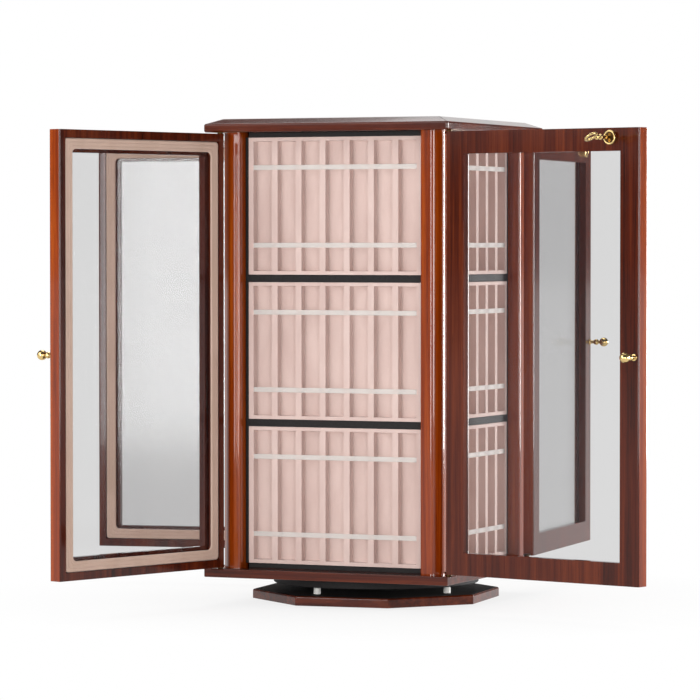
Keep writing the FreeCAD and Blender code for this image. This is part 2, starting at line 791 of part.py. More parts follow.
def check_and_export():
    """Stop on any failed object, then write one file for each sub-part."""
    doc.recompute()
    for item in doc.Objects:
        if "Invalid" in item.State or "Error" in item.State:
            raise ValueError(f"{item.Name} failed: {item.State}")
    os.makedirs("parts", exist_ok=True)
    for item in finished:
        if item.Shape.isNull() or not item.Shape.isValid():
            raise ValueError(f"{item.Label} has no valid shape")
        item.Shape.exportStep(f"parts/{item.Label}.step")
    print(f"{len(finished)} sub-parts written")


make_stand()
make_shell()
make_inside()
make_fixed_leaves()
for face, quarter, opened in FACES:
    make_door(face, quarter, opened)
make_key(1, z.right_open.number)
check_and_export()
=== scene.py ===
import json
import math

import bmesh
import bpy
from mathutils import Matrix, Vector


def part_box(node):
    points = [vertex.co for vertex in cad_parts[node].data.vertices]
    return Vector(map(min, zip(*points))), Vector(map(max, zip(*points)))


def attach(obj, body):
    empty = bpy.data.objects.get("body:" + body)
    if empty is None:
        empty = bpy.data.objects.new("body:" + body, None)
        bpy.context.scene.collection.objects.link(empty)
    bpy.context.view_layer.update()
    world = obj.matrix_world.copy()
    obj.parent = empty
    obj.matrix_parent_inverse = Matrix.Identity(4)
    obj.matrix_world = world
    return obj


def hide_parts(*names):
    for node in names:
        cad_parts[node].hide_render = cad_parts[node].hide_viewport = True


bl_info = {
    "name": "Revolving display tower",
    "version": (1, 0, 0),
    "blender": (4, 5, 0),
    "location": "View3D > Sidebar > Tower",
    "description": "Lacquered cabinet on a turntable, with glazed doors, velour trays and brass fittings",
    "category": "Object",
}

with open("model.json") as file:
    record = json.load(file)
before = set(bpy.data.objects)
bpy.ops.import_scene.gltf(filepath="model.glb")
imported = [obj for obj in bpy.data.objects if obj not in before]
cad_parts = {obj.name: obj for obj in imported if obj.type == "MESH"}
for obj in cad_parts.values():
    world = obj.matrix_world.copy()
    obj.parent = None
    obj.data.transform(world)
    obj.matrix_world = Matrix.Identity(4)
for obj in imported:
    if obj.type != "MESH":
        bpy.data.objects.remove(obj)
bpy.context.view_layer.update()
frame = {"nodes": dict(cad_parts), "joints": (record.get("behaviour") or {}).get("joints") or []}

FACES = ("front", "right", "back", "left")
LEVELS = ("lower", "middle", "upper")
POSTS = ("front_left", "front_right", "back_right", "back_left")
JOINTS = {joint["name"]: joint for joint in frame["joints"]}
MM = 0.001
MERGE = 1e-6
SHARP = math.radians(30)
HARD = math.radians(50)
FULL_TURN = 2 * math.pi
FACING = 0.9
PLACE = "own_place"

# The way the main view looks, on the level
BEHIND = (-0.4, 0.917, 0)

# Step between the wood figures of two pieces
FIGURE_STEP = Vector((0.37, 0.53, 0.29))

# What the lamps face, and each lamp's name, place, width and height, and power
LAMP_TARGET = Vector((0, 0, 0.3))
LAMPS = (
    ("front_panel", (-0.5, -3.56, 0.45), (0.8, 0.9), 46),
    ("key_light", (-1.9, -2.5, 1.9), (2.6, 2.6), 68),
    ("fill_panel", (3.5, -4.4, 0.45), (2.2, 0.9), 80),
    ("right_panel", (3.9, 0.1, 0.45), (1.6, 0.9), 45),
    ("side_panel", (2.36, 2.91, 0.45), (1.2, 0.9), 165),
    ("top_light", (0.2, 0.6, 3.0), (1.8, 1.8), 25),
    ("back_light", (-0.9, 1.3, 2.7), (1.4, 1.4), 20),
)


# Sizes and colours that a user would change

def length(name, description, default):
    """A size in metres."""
    return bpy.props.FloatProperty(
        name=name, description=description, default=default, min=0, unit="LENGTH", precision=5)


def colour(name, description, default):
    """A linear colour."""
    return bpy.props.FloatVectorProperty(
        name=name, description=description, default=default, size=3, min=0, max=1, subtype="COLOR")


class TowerSizes(bpy.types.PropertyGroup):
    """Sizes that shape the dressed pieces."""

    plate_round: length("Plate rounding", "Edge radius of plate and base", 1.2 * MM)
    post_round: length("Post rounding", "Edge radius of the corner posts", 3 * MM)
    post_chamfer: length("Post chamfer", "Outer corner taken off a post", 10 * MM)
    door_round: length("Door rounding", "Edge radius of the door frames", 0.8 * MM)
    board_round: length("Board rounding", "Edge radius of the painted boards", 0.5 * MM)
    fitting_round: length("Fitting rounding", "Edge radius of the small brass fittings", 0.25 * MM)
    tray_round: length("Tray rounding", "Edge radius of the velour ridges", 1.5 * MM)
    rim_round: length("Rim rounding", "Edge radius of the velour rim", 0.6 * MM)
    tray_rim: length("Tray rim", "Height of the rim above and below the channels", 4.5 * MM)
    channel_width: length("Channel width", "Clear width of one channel", 24.8 * MM)
    channel_pitch: length("Channel pitch", "Distance between channel centres", 32.8 * MM)
    channel_depth: length("Channel depth", "Depth of one channel", 11 * MM)
    channel_count: bpy.props.IntProperty(
        name="Channels", description="Channels in one tray", default=7, min=1)
    band_height: length("Band height", "Width of an elastic band", 6 * MM)
    band_thickness: length("Band thickness", "Thickness of an elastic band", 0.8 * MM)
    band_sag: length("Band sag", "How far a band dips into a channel", 0.7 * MM)
    band_low: length("Lower band", "Height of the lower band above the tray's foot", 33.9 * MM)
    band_high: length("Upper band", "Height of the upper band above the tray's foot", 131.2 * MM)
    door_width: length("Door width", "Width of a door", 287.5 * MM)
    door_thickness: length("Door thickness", "Thickness of a door", 17.5 * MM)
    hinge_offset: length("Hinge offset", "Hinge axis to the door's edge", 1.5 * MM)
    border: length("Border", "Wood border on the inner side of a door", 10 * MM)
    pane_play: length("Pane play", "Clearance round the pane", 0.3 * MM)
    pane_thickness: length("Pane thickness", "Thickness of the glass", 3 * MM)
    liner_width: length("Liner width", "Width of the velour strip round the pane", 13 * MM)
    liner_thickness: length("Liner thickness", "Thickness of the velour strip", 4.7 * MM)
    liner_corner: length("Liner corner", "Radius of the strip's inner corners", 6 * MM)
    liner_outer_corner: length("Liner outer corner", "Radius of the strip's outer corners", 4 * MM)
    knob_rose: length("Knob rose", "Diameter of the knob's foot", 8.4 * MM)
    knob_neck: length("Knob neck", "Diameter of the knob's neck", 4.4 * MM)
    knob_bead: length("Knob bead", "Diameter of the knob's bead", 8 * MM)
    knob_bead_reach: length("Knob bead reach", "Door face to the middle of the bead", 9.5 * MM)
    knob_head: length("Knob head", "Diameter of the knob's head", 12.4 * MM)
    knob_head_reach: length("Knob head reach", "Door face to the middle of the head", 20 * MM)
    knob_edge: length("Knob edge", "Knob to the door's free edge", 7 * MM)
    barrel_proud: length("Barrel height", "How far the barrel stands off the door", 4 * MM)
    barrel: length("Barrel", "Diameter of the lock's barrel", 17.5 * MM)
    barrel_rim: length("Barrel rim", "Thickness of the raised rim round the barrel", 2.6 * MM)
    lock_edge: length("Lock edge", "Lock to the door's free edge", 40.5 * MM)
    lock_drop: length("Lock drop", "Lock to the door's top", 11.5 * MM)
    key_reach: length("Key reach", "Barrel to the middle of the key's bow", 37.5 * MM)
    key_bow: length("Key bow", "Outer width of the key's bow", 18 * MM)
    key_roll: bpy.props.FloatProperty(
        name="Key roll", description="Turn of the bow from upright", default=math.radians(57),
        subtype="ANGLE")


class TowerColours(bpy.types.PropertyGroup):
    """Colours of the finishes."""

    veneer_dark: colour("Veneer dark", "Dark lines of the rosewood veneer", (0.016, 0.0022, 0.0006))
    veneer_middle: colour("Veneer middle", "Body of the rosewood veneer", (0.066, 0.0085, 0.0020))
    veneer_light: colour("Veneer light", "Light lines of the rosewood veneer", (0.150, 0.026, 0.0055))
    edge_dark: colour("Edge dark", "Dark lines of the solid edges and posts", (0.110, 0.012, 0.0008))
    edge_middle: colour("Edge middle", "Body of the solid edges and posts", (0.225, 0.030, 0.0016))
    edge_light: colour("Edge light", "Light lines of the solid edges and posts", (0.400, 0.078, 0.0050))
    board: colour("Board", "Painted boards", (0.011, 0.010, 0.010))
    velour: colour("Velour", "Velour of the trays", (0.660, 0.510, 0.465))
    velour_shade: colour("Velour shade", "Nap lying the other way", (0.580, 0.430, 0.390))
    strip: colour("Strip", "Velour strips round the panes", (0.560, 0.400, 0.325))
    strip_shade: colour("Strip shade", "Nap of the strips lying the other way", (0.500, 0.350, 0.275))
    band: colour("Band", "Elastic bands", (0.830, 0.800, 0.760))
    glass: colour("Glass", "Tint of the panes", (0.024, 0.022, 0.026))
    brass: colour("Brass", "Knobs, locks, bolts and key", (0.780, 0.560, 0.240))
    # Dark brass of the hinges; on the lock barrels' flat front faces the same colour is painted shade of a
    # sunk face and keyhole.
    dark_tone: colour("Tarnish", "Hinges and the sunk face of the lock barrels", (0.060, 0.032, 0.012))
    nylon: colour("Nylon", "Glide buttons", (0.800, 0.790, 0.750))
    felt: colour("Felt", "Underside of the base", (0.020, 0.020, 0.022))
    steel: colour("Steel", "Spindle", (0.560, 0.560, 0.580))
    floor: colour("Floor", "Floor under the tower", (0.860, 0.860, 0.860))


def sizes():
    """The sizes as they are set in the scene."""
    return bpy.context.scene.tower_sizes


def colours():
    """The colours as they are set in the scene."""
    return bpy.context.scene.tower_colours


# Shader expressions

class Link:
    """A shader socket that can stand in a sum, so that 1 - mask adds a Math node."""

    def __init__(self, board, socket):
        self.board = board
        self.socket = socket

    def math(self, operation, first, second):
        return self.board.node("ShaderNodeMath", {"operation": operation}, {0: first, 1: second})

    def __add__(self, other):
        return self.math("ADD", self, other)

    def __sub__(self, other):
        return self.math("SUBTRACT", self, other)

    def __mul__(self, other):
        return self.math("MULTIPLY", self, other)

    def __rsub__(self, other):
        return self.math("SUBTRACT", other, self)

    __radd__ = __add__
    __rmul__ = __mul__


class Board:
    """The node tree of a material or of the world."""

    def __init__(self, owner):
        self.owner = owner
        self.owner.use_nodes = True
        self.tree = self.owner.node_tree
        self.tree.nodes.clear()

    def node(self, kind, settings=None, sockets=None, output=0):
        """Add a node, set it up, fill its sockets and give one of its outputs."""
        made = self.tree.nodes.new(kind)
        settings = dict(settings or {})
        stops = settings.pop("stops", None)
        for name, value in settings.items():
            setattr(made, name, value)
        if stops:
            self.fill_ramp(made.color_ramp, stops)
        for key, value in (sockets or {}).items():
            if isinstance(value, Link):
                self.tree.links.new(value.socket, made.inputs[key])
            else:
                made.inputs[key].default_value = value
        return Link(self, made.outputs[output]) if made.outputs else None

    @staticmethod
    def fill_ramp(ramp, stops):
        """Place the stops of a colour ramp."""
        while len(ramp.elements) < len(stops):
            ramp.elements.new(1.0)
        for element, (position, shade) in zip(ramp.elements, stops):
            element.position = position
            element.color = (*shade, 1)

    def own_place(self):
        """Where a point lies in its piece's own frame, with the grain along Z."""
        return self.node("ShaderNodeAttribute", {"attribute_name": PLACE}, output="Vector")

    def noise(self, place, stretch, detail=4.0, roughness=0.55, distortion=0.0):
        """Noise drawn out along the piece by a stretch in each direction."""
        spread = self.node("ShaderNodeVectorMath", {"operation": "MULTIPLY"}, {0: place, 1: stretch})
        return self.node("ShaderNodeTexNoise", {}, {
            "Vector": spread, "Scale": 1.0, "Detail": detail, "Roughness": roughness,
            "Distortion": distortion})

    def ramp(self, factor, stops):
        return self.node("ShaderNodeValToRGB", {"stops": stops}, {"Fac": factor})

    def blend(self, factor, first, second, mode="MIX"):
        """Mix two colours."""
        return self.node("ShaderNodeMix", {"data_type": "RGBA", "blend_type": mode}, {
            "Factor": factor, 6: first, 7: second}, output=2)

    def bump(self, height, strength, distance):
        return self.node("ShaderNodeBump", {}, {
            "Height": height, "Strength": strength, "Distance": distance})

    def surface(self, sockets):
        """Finish the material with one principled shader."""
        shader = self.node("ShaderNodeBsdfPrincipled", {}, sockets)
        self.node("ShaderNodeOutputMaterial", {}, {"Surface": shader})
        return self.owner


def opaque(shade):
    """A colour with full alpha."""
    return (*shade, 1.0)


def lacquered_wood(name, dark, middle, light, coat):
    """Polished lacquer over wood with long dark streaks, fine lines and pores."""
    board = Board(bpy.data.materials.new(name))
    place = board.own_place()
    broad = board.noise(place, (9, 9, 0.9), detail=2)
    lines = board.noise(place, (95, 95, 2.4), detail=5, roughness=0.62, distortion=0.5)
    fine = board.noise(place, (520, 520, 7), detail=3)
    pores = board.noise(place, (1500, 1500, 40), detail=2)
    figure = lines * 0.55 + broad * 0.3 + fine * 0.15
    body = board.ramp(figure, [(0.36, dark), (0.49, middle), (0.66, light)])
    pore_mask = board.ramp(pores, [(0.30, (0.55, 0.5, 0.5)), (0.42, (1, 1, 1))])
    tone = board.blend(0.8, body, pore_mask, "MULTIPLY")
    polish = board.noise(place, (60, 60, 60), detail=1)
    return board.surface({
        "Base Color": tone,
        "Roughness": polish * 0.05 + 0.1,
        "Specular IOR Level": 0.2,
        "Coat Weight": coat,
        "Coat Roughness": 0.04,
        "Normal": board.bump(polish, 0.01, 0.0004),
    })


def painted_board(name, shade):
    """Black paint with the faint tooth of the board under it."""
    board = Board(bpy.data.materials.new(name))
    place = board.own_place()
    tooth = board.noise(place, (400, 400, 400), detail=4)
    lighter = tuple(value * 2.2 for value in shade)
    tone = board.ramp(tooth, [(0.3, shade), (0.8, lighter)])
    return board.surface({
        "Base Color": tone,
        "Roughness": tooth * 0.25 + 0.5,
        "Specular IOR Level": 0.15,
        "Normal": board.bump(tooth, 0.15, 0.0002),
    })


def velour_pile(name, shade, lying):
    """Short velour pile, brushed in soft patches."""
    board = Board(bpy.data.materials.new(name))
    place = board.own_place()
    brushed = board.noise(place, (26, 26, 11), detail=3, distortion=0.4)
    pile = board.noise(place, (2300, 2300, 2300), detail=2)
    tone = board.ramp(brushed * 0.7 + pile * 0.3, [(0.36, lying), (0.62, shade)])
    return board.surface({
        "Base Color": tone,
        "Roughness": 0.95,
        "Specular IOR Level": 0.12,
        "Sheen Weight": 0.25,
        "Sheen Roughness": 0.5,
        "Normal": board.bump(pile, 0.35, 0.0004),
    })


def woven_elastic(name, shade):
    """Elastic with cross ribs and a looser middle."""
    board = Board(bpy.data.materials.new(name))
    place = board.own_place()
    ribs = board.node("ShaderNodeTexWave", {"bands_direction": "X"}, {
        "Vector": place, "Scale": 260.0, "Distortion": 0.6, "Detail": 1.0})
    rows = board.node("ShaderNodeTexWave", {"bands_direction": "Z"}, {
        "Vector": place, "Scale": 330.0, "Distortion": 0.2, "Detail": 1.0})
    weave = ribs * 0.6 + rows * 0.4
    darker = tuple(value * 0.78 for value in shade)
    return board.surface({
        "Base Color": board.ramp(weave, [(0.2, darker), (0.7, shade)]),
        "Roughness": 0.7,
        "Alpha": 0.5,
        "Normal": board.bump(weave, 0.4, 0.0002),
    })


def clear_glass(name, shade):
    """Float glass that lets most light straight through and shines more at a slant."""
    board = Board(bpy.data.materials.new(name))
    slant = board.node("ShaderNodeLayerWeight", {}, {"Blend": 0.5}, output="Facing")
    wiped = board.noise(board.own_place(), (7, 7, 7), detail=1)
    return board.surface({
        "Base Color": opaque(shade),
        "Roughness": wiped * 0.02 + 0.09,
        "Specular IOR Level": 0.9,
        "Alpha": slant * slant * 0.06 + 0.18,
    })


def polished_metal(name, shade, base_roughness):
    """Turned and polished metal with fine rubbing marks."""
    board = Board(bpy.data.materials.new(name))
    place = board.own_place()
    marks = board.noise(place, (700, 700, 2600), detail=3)
    dark_tone = board.noise(place, (120, 120, 120), detail=3)
    worn = tuple(value * 0.72 for value in shade)
    return board.surface({
        "Base Color": board.ramp(dark_tone, [(0.35, worn), (0.65, shade)]),
        "Metallic": 1.0,
        "Roughness": marks * 0.14 + base_roughness,
        "Normal": board.bump(marks, 0.05, 0.0001),
    })


def moulded_nylon(name, shade):
    """Plain nylon with a faint speckle."""
    board = Board(bpy.data.materials.new(name))
    speckle = board.noise(board.own_place(), (900, 900, 900), detail=2)
    duller = tuple(value * 0.86 for value in shade)
    return board.surface({
        "Base Color": board.ramp(speckle, [(0.3, duller), (0.7, shade)]),
        "Roughness": speckle * 0.1 + 0.42,
    })


def pressed_felt(name, shade):
    """Black felt with loose fibres."""
    board = Board(bpy.data.materials.new(name))
    fibres = board.noise(board.own_place(), (1200, 1200, 1200), detail=5, distortion=1.5)
    lighter = tuple(value * 2.5 for value in shade)
    return board.surface({
        "Base Color": board.ramp(fibres, [(0.35, shade), (0.75, lighter)]),
        "Roughness": 0.95,
        "Normal": board.bump(fibres, 0.6, 0.0005),
    })


def finish_named(name):
    """The material of one finish, made the first time that a piece asks for it."""
    if name in bpy.data.materials:
        return bpy.data.materials[name]
    tint = colours()
    makers = {
        "rosewood_veneer": lambda: lacquered_wood(
            name, tint.veneer_dark, tint.veneer_middle, tint.veneer_light, 0.2),
        "polished_edge": lambda: lacquered_wood(
            name, tint.edge_dark, tint.edge_middle, tint.edge_light, 0.5),
        "black_paint": lambda: painted_board(name, tint.board),
        "cream_velour": lambda: velour_pile(name, tint.velour, tint.velour_shade),
        "peach_velour": lambda: velour_pile(name, tint.strip, tint.strip_shade),
        "white_elastic": lambda: woven_elastic(name, tint.band),
        "clear_glass": lambda: clear_glass(name, tint.glass),
        "polished_brass": lambda: polished_metal(name, tint.brass, 0.12),
        # Dark brass for the hinges, also used as painted shade on the lock barrels' front faces.
        "dark_brass_and_shade": lambda: polished_metal(name, tint.dark_tone, 0.3),
        "white_nylon": lambda: moulded_nylon(name, tint.nylon),
        "black_felt": lambda: pressed_felt(name, tint.felt),
        "turned_steel": lambda: polished_metal(name, tint.steel, 0.22),
    }
    return makers[name]()


# Shapes

def block(low, high):
    """A box between two corners."""
    bm = bmesh.new()
    low = Vector(low)
    high = Vector(high)
    bmesh.ops.create_cube(bm, size=1.0)
    bmesh.ops.scale(bm, vec=high - low, verts=bm.verts)
    bmesh.ops.translate(bm, vec=(low + high) / 2, verts=bm.verts)
    return bm


def node_shape(node):
    """A copy of a CAD node with its loose triangles merged into whole faces."""
    bm = bmesh.new()
    bm.from_mesh(frame["nodes"][node].data)
    bmesh.ops.remove_doubles(bm, verts=bm.verts, dist=MERGE)
    bmesh.ops.dissolve_limit(bm, angle_limit=math.radians(0.4), verts=bm.verts, edges=bm.edges)
    return bm


def sharp_edges(bm, least=SHARP):
    """Edges where two faces meet at more than an angle."""
    return [edge for edge in bm.edges if edge.is_manifold and edge.calc_face_angle() > least]


def round_edges(bm, edges, radius, segments=3):
    """Round edges off by a radius."""
    bmesh.ops.bevel(bm, geom=edges, offset=radius, offset_type="OFFSET", affect="EDGES",
                    segments=segments, profile=0.5, material=-1, clamp_overlap=True)


def lathe(profile, steps=48):
    """A shape turned about Z from pairs of radius and height."""
    bm = bmesh.new()
    verts = [bm.verts.new((radius, 0, height)) for radius, height in profile]
    edges = [bm.edges.new(pair) for pair in zip(verts, verts[1:])]
    bmesh.ops.spin(bm, geom=verts + edges, cent=(0, 0, 0), axis=(0, 0, 1), angle=FULL_TURN,
                   steps=steps, use_merge=True, use_duplicate=False)
    bmesh.ops.remove_doubles(bm, verts=bm.verts, dist=MERGE)
    bmesh.ops.recalc_face_normals(bm, faces=bm.faces)
    return bm


def arc(centre, radius, start, end, steps):
    """Points of a round stretch in a profile, by angle from the outward radius."""
    points = []
    for step in range(steps + 1):
        angle = math.radians(start + (end - start) * step / steps)
        points.append((centre[0] + radius * math.cos(angle), centre[1] + radius * math.sin(angle)))
    return points


def rounded_loop(bm, low, high, depth, radius):
    """Corners of an upright rectangle with rounded corners, at one depth, in order."""
    left, right = low[0] + radius, high[0] - radius
    foot, top = low[1] + radius, high[1] - radius
    points = []
    for quarter, centre in enumerate(((right, top), (left, top), (left, foot), (right, foot))):
        points += arc(centre, radius, 90 * quarter, 90 * quarter + 90, 5)
    return [bm.verts.new((x, depth, z)) for x, z in points]


def picture_frame(rings):
    """A closed frame skinned over loops, each given as low corner, high corner, depth and radius."""
    bm = bmesh.new()
    loops = [rounded_loop(bm, *ring) for ring in rings]
    for first, second in zip(loops, loops[1:] + loops[:1]):
        for index in range(len(first)):
            bm.faces.new((first[index - 1], first[index], second[index], second[index - 1]))
    bmesh.ops.recalc_face_normals(bm, faces=bm.faces)
    return bm


def prism(outline, low, high):
    """An upright solid over a flat outline."""
    bm = bmesh.new()
    face = bm.faces.new([bm.verts.new((x, y, low)) for x, y in outline])
    made = bmesh.ops.extrude_face_region(bm, geom=[face])
    top = [item for item in made["geom"] if isinstance(item, bmesh.types.BMVert)]
    bmesh.ops.translate(bm, vec=(0, 0, high - low), verts=top)
    bmesh.ops.recalc_face_normals(bm, faces=bm.faces)
    return bm


def add_shape(bm, other):
    """Put another shape's faces into a bmesh."""
    spare = bpy.data.meshes.new("spare")
    other.to_mesh(spare)
    other.free()
    bm.from_mesh(spare)
    bpy.data.meshes.remove(spare)


def make_piece(bm, name, body, nodes, finishes, place=None, grain=None):
    """Turn a shape into a named piece that rides on a body and stands for its CAD nodes."""
    own = (grain or Matrix()).to_4x4()
    layer = bm.verts.layers.float_vector.new(PLACE)
    for vert in bm.verts:
        vert[layer] = own @ vert.co
    for face in bm.faces:
        face.smooth = True
    for edge in bm.edges:
        edge.smooth = edge.calc_face_angle(0) < HARD
    if place is not None:
        bm.transform(place)
    mesh = bpy.data.meshes.new(name)
    bm.to_mesh(mesh)
    bm.free()
    if "custom_normal" in mesh.attributes:
        mesh.attributes.remove(mesh.attributes["custom_normal"])
    for finish in finishes:
        mesh.materials.append(finish_named(finish))
    piece = bpy.data.objects.new(name, mesh)
    bpy.context.scene.collection.objects.link(piece)
    even = piece.modifiers.new("even_shading", "WEIGHTED_NORMAL")
    even.keep_sharp = True
    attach(piece, body)
    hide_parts(*nodes)
    return piece


# Places on the tower

def face_turn(face):
    """Turn about the spindle from the front face to another."""
    return Matrix.Rotation(math.radians(90 * FACES.index(face)), 4, "Z")


def door_place(face):
    """From a closed front door's frame, hinge axis at the origin and inner side at +Y, to the open door."""
    joint = JOINTS[f"{face}_door_hinge"]
    x, y, _ = joint["pos_m"]
    opened = -joint["range_deg"][0]
    turn = math.radians(90 * FACES.index(face) - opened)
    return Matrix.Translation((x, y, 0)) @ Matrix.Rotation(turn, 4, "Z")


def door_heights(face="front"):
    """Lowest and highest level of a door."""
    low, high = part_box(f"{face}_door_frame")
    return low.z, high.z


def lock_place(face):
    """The middle of a lock barrel's face, with Z out of the door."""
    size = sizes()
    spot = Vector((size.hinge_offset + size.door_width - size.lock_edge,
                   -size.door_thickness / 2 - size.barrel_proud, door_heights(face)[1] - size.lock_drop))
    return Matrix.Translation(spot) @ Matrix.Rotation(math.radians(90), 4, "X")


def grain_along(axis, shift):
    """Own frame whose Z runs along X or stays upright, moved so that no two pieces share a figure."""
    turn = Matrix.Rotation(math.radians(90), 4, "Y") if axis == "X" else Matrix()
    return Matrix.Translation(FIGURE_STEP * shift) @ turn


# Operators, one for each piece or group of like pieces

class TOWER_OT_base(bpy.types.Operator):
    """Octagonal base with felt, glide buttons, spindle and turning disc"""

    bl_idname = "tower.base"
    bl_label = "Base and turntable"

    def execute(self, context):
        size = sizes()
        board = node_shape("base_board")
        for side in board.faces:
            side.material_index = 1 if side.normal.z > FACING else 0
        round_edges(board, sharp_edges(board), size.plate_round / 2, 3)
        make_piece(board, "octagon_base", "base", ["base_board"],
                   ["rosewood_veneer", "black_paint"], grain=grain_along("X", 1))
        self.felt()
        self.glides()
        self.spindle()
        self.disc()
        return {"FINISHED"}

    def felt(self):
        low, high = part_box("base_felt")
        radius = high.x
        soft = (high.z - low.z) / 3
        felt = lathe([(0, low.z), (radius - soft, low.z), (radius, low.z + soft), (radius, high.z),
                      (0, high.z)], 96)
        piece = make_piece(felt, "felt_disc", "base", ["base_felt"], ["black_felt"])

    def glides(self):
        shape = bmesh.new()
        source = node_shape("glide_buttons")
        low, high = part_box("glide_buttons")
        for centre, radius in self.round_solids(source):
            soft = radius * 0.35
            button = lathe([(0, low.z), (radius, low.z), (radius, high.z - soft)]
                           + arc((radius - soft, high.z - soft), soft, 0, 90, 4) + [(0, high.z)], 24)
            bmesh.ops.translate(button, vec=(centre.x, centre.y, 0), verts=button.verts)
            add_shape(shape, button)
        source.free()
        make_piece(shape, "glide_set", "base", ["glide_buttons"], ["white_nylon"])

    @staticmethod
    def round_solids(bm):
        """Centre and radius of each separate upright cylinder in a shape."""
        found = []
        left = set(bm.verts)
        while left:
            stack = [left.pop()]
            island = []
            while stack:
                vert = stack.pop()
                island.append(vert)
                for edge in vert.link_edges:
                    other = edge.other_vert(vert)
                    if other in left:
                        left.discard(other)
                        stack.append(other)
            centre = sum((vert.co for vert in island), Vector()) / len(island)
            radius = max((vert.co - centre).xy.length for vert in island)
            found.append((centre, radius))
        return found

    def spindle(self):
        low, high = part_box("spindle")
        flange = high.x
        stem = 7 * MM
        step = low.z + 4 * MM
        ease = 0.6 * MM
        shape = lathe([(0, low.z), (flange, low.z), (flange, step - ease), (flange - ease, step),
                       (stem + ease, step), (stem, step + ease), (stem, high.z - ease),
                       (stem - ease, high.z), (0, high.z)], 64)
        make_piece(shape, "turned_spindle", "base", ["spindle"], ["turned_steel"])

    def disc(self):
        low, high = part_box("turning_disc")
        bore = 7.08 * MM
        ease = 0.8 * MM
        rim = high.x
        shape = lathe([(bore, low.z), (rim - ease, low.z), (rim, low.z + ease), (rim, high.z - ease),
                       (rim - ease, high.z), (bore, high.z), (bore, low.z)], 96)
        make_piece(shape, "painted_disc", "cabinet", ["turning_disc"], ["black_paint"])


class TOWER_OT_shell(bpy.types.Operator):
    """Bottom plate, bevelled top slab and corner posts"""

    bl_idname = "tower.shell"
    bl_label = "Plate, slab and posts"

    def execute(self, context):
        plate = node_shape("bottom_plate")
        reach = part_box("bottom_plate")[1].x
        outer = [edge for edge in sharp_edges(plate) if self.on_outline(edge, reach)]
        round_edges(plate, outer, sizes().plate_round, 4)
        make_piece(plate, "lacquered_bottom_plate", "cabinet", ["bottom_plate"],
                   ["rosewood_veneer"], grain=grain_along("X", 2))
        make_piece(node_shape("top_slab"), "lacquered_top_slab", "cabinet", ["top_slab"],
                   ["rosewood_veneer"], grain=grain_along("X", 3))
        for number, name in enumerate(POSTS):
            make_piece(self.post(), f"chamfered_post_{name}", "cabinet", [f"post_{name}"],
                       ["polished_edge"], place=face_turn(FACES[number]),
                       grain=grain_along("Z", 4 + number))
        return {"FINISHED"}

    @staticmethod
    def post():
        """The front left post, its edges eased except the one against the core."""
        size = sizes()
        low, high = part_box("post_front_left")
        near = low.x + size.post_chamfer
        shape = prism([(near, low.y), (high.x, low.y), (high.x, high.y), (low.x, high.y), (low.x, near)],
                      low.z, high.z)
        upright = [edge for edge in shape.edges if abs(edge.verts[0].co.z - edge.verts[1].co.z) > MERGE]
        seen = [edge for edge in upright if edge.verts[0].co.xy.length > high.xy.length + MERGE]
        round_edges(shape, seen, size.post_round, 6)
        return shape

    @staticmethod
    def on_outline(edge, reach):
        """True for an edge of the plate's own outline, not of a bed cut into it."""
        return all(max(abs(vert.co.x), abs(vert.co.y)) > reach - MERGE for vert in edge.verts)


class TOWER_OT_boards(bpy.types.Operator):
    """Hollow core, floor and ceiling boards, and the dividers and strips round the trays"""

    bl_idname = "tower.boards"
    bl_label = "Core and boards"

    def execute(self, context):
        for node in ("core_box", "floor_board", "ceiling_board", "lower_dividers", "upper_dividers",
                     "side_strips"):
            shape = node_shape(node)
            round_edges(shape, sharp_edges(shape), sizes().board_round, 2)
            make_piece(shape, f"painted_{node}", "cabinet", [node], ["black_paint"])
        return {"FINISHED"}


